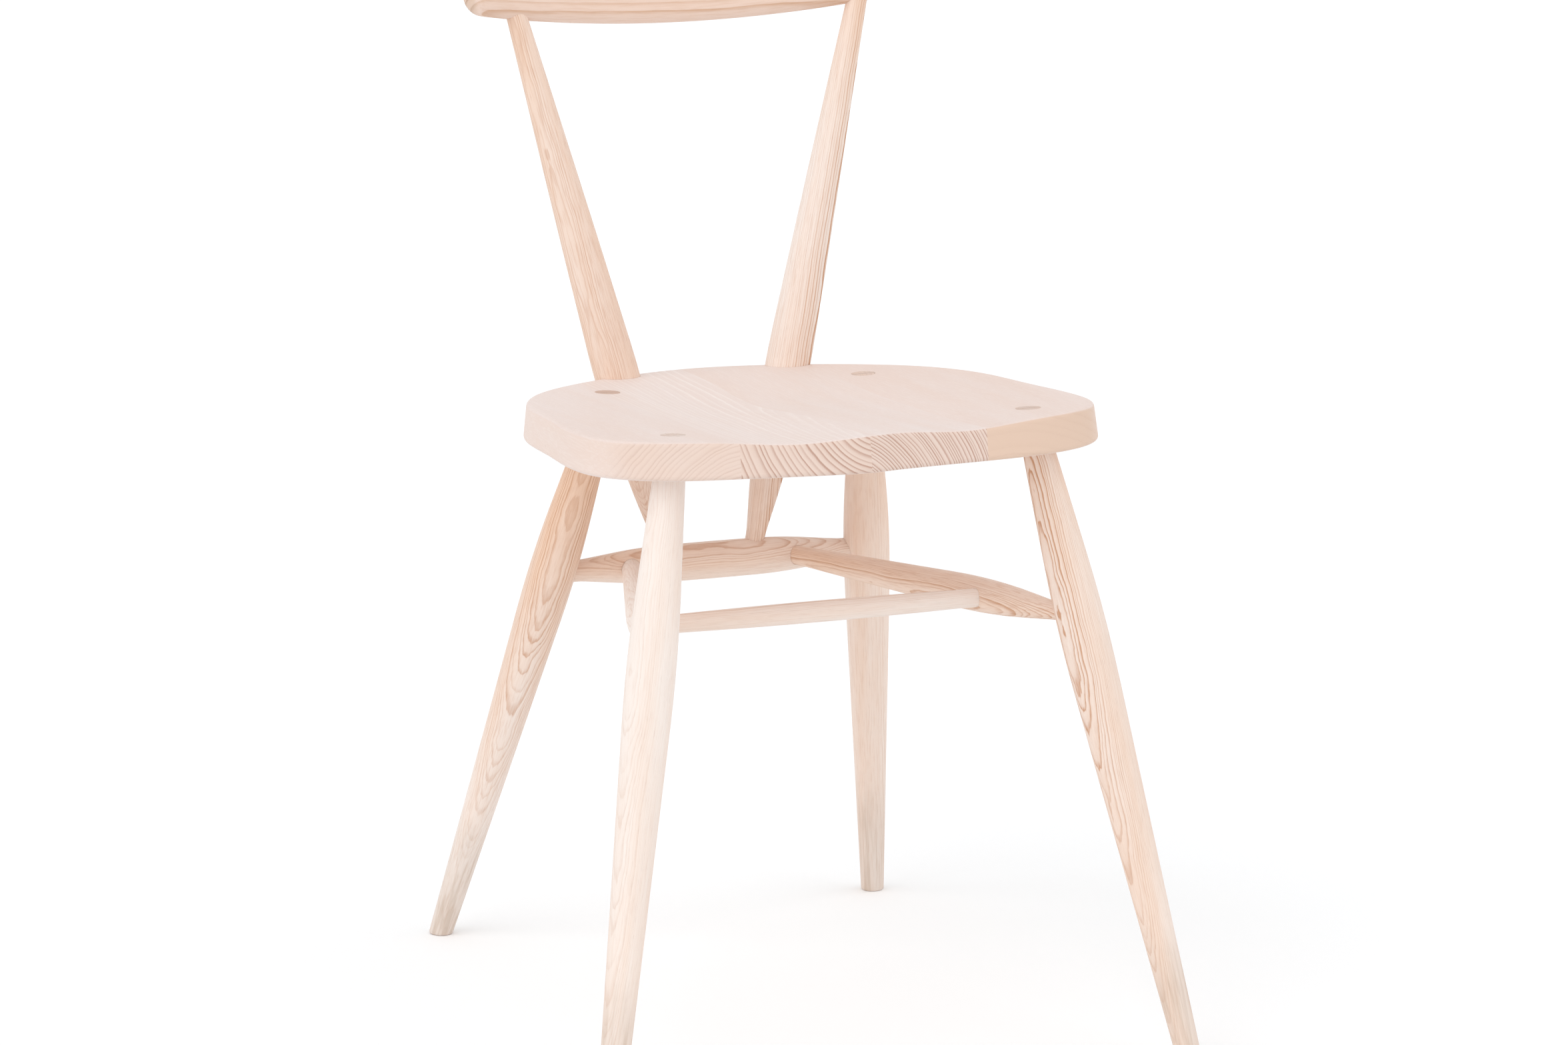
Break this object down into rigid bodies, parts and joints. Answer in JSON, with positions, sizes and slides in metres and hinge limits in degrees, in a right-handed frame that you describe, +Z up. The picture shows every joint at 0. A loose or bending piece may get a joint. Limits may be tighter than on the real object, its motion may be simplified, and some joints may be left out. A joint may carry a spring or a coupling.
{
  "type": "windsor chair",
  "caption": "Armless wooden dining chair with a saddled seat on splayed turned legs joined by low stretchers, and a curved back rail on tapered sticks set in a V.",
  "frame": {"origin": "on the floor, under the middle of the chair's box", "axes": "+Z up, the sitter faces -Y, +X across the chair to the right as seen from in front of it"},
  "size_m": [0.4312, 0.5043, 0.7599],
  "materials": {
    "seat_ash": "matt, whitened ash, pale pinkish cream",
    "turned_ash": "matt, natural ash with warm grain lines",
    "rail_ash": "matt, natural ash",
    "wedge_ash": "matt end grain",
    "screw_steel": "zinc plated steel"
  },
  "bodies": {
    "root": {"seat_board_left": "seat_ash", "seat_board_centre_left": "seat_ash", "seat_board_centre_right": "seat_ash", "seat_board_right": "seat_ash", "leg_front_left": "turned_ash", "leg_front_right": "turned_ash", "leg_rear_left": "turned_ash", "leg_rear_right": "turned_ash", "wedge_front_left": "wedge_ash", "wedge_front_right": "wedge_ash", "wedge_rear_left": "wedge_ash", "wedge_rear_right": "wedge_ash", "back_stick_left": "turned_ash", "back_stick_right": "turned_ash", "back_rail": "rail_ash", "rear_stretcher": "turned_ash", "side_stretcher_left": "turned_ash", "side_stretcher_right": "turned_ash", "cross_stretcher": "turned_ash", "stick_screws": "screw_steel", "screw_plugs": "wedge_ash"}
  },
  "joints": []
}
